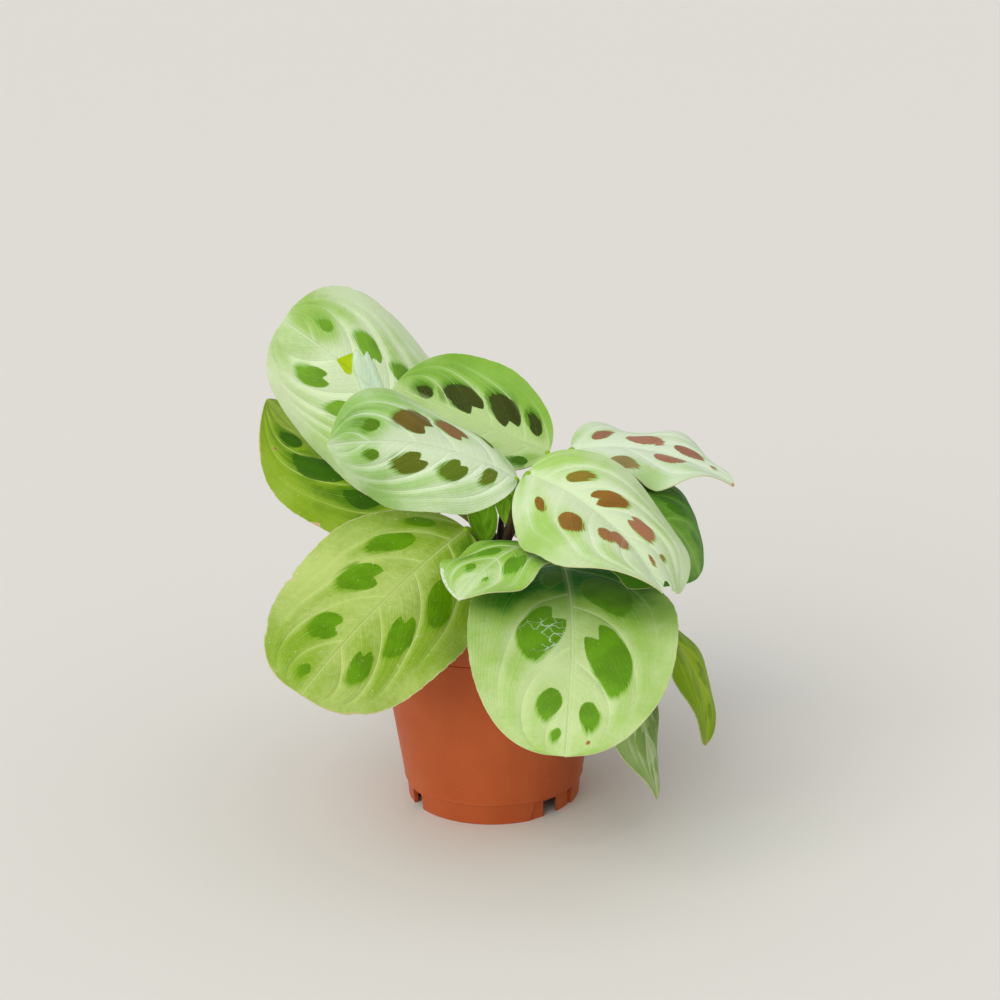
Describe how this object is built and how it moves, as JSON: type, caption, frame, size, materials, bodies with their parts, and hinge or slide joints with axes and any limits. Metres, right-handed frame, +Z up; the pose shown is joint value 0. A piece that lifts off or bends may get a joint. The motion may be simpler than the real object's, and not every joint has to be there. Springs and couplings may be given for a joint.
{
  "type": "potted prayer plant",
  "caption": "Prayer plant with blotched oval leaves that arch out over a terracotta-coloured plastic nursery pot with a notched foot.",
  "frame": {"origin": "middle of the bottom of the whole plant's box, on the plane that the pot's foot ring stands on; the pot's own axis is at x -1.7 mm, y +9.6 mm", "axes": "+Z up, +X to the right and -Y towards the viewer, seen from the plant's front"},
  "size_m": [0.2142, 0.2282, 0.2232],
  "materials": {
    "pot_plastic": "satin",
    "potting_soil": "matte",
    "stem": "satin",
    "leaf": "satin"
  },
  "bodies": {
    "root": {"pot": "pot_plastic", "soil": "potting_soil", "stems": "stem", "leaf_top_left": "leaf", "leaf_far_left": "leaf", "leaf_upper_middle": "leaf", "leaf_centre": "leaf", "leaf_lower_left": "leaf", "leaf_front": "leaf", "leaf_right": "leaf", "leaf_small_front": "leaf", "leaf_upper_right": "leaf", "leaf_under_right": "leaf", "leaf_hanging_right": "leaf", "leaf_hanging_front": "leaf", "leaf_back_low": "leaf", "leaf_back_right": "leaf", "leaf_back_left": "leaf", "leaf_young": "leaf", "leaf_small_hanging": "leaf"}
  },
  "joints": []
}
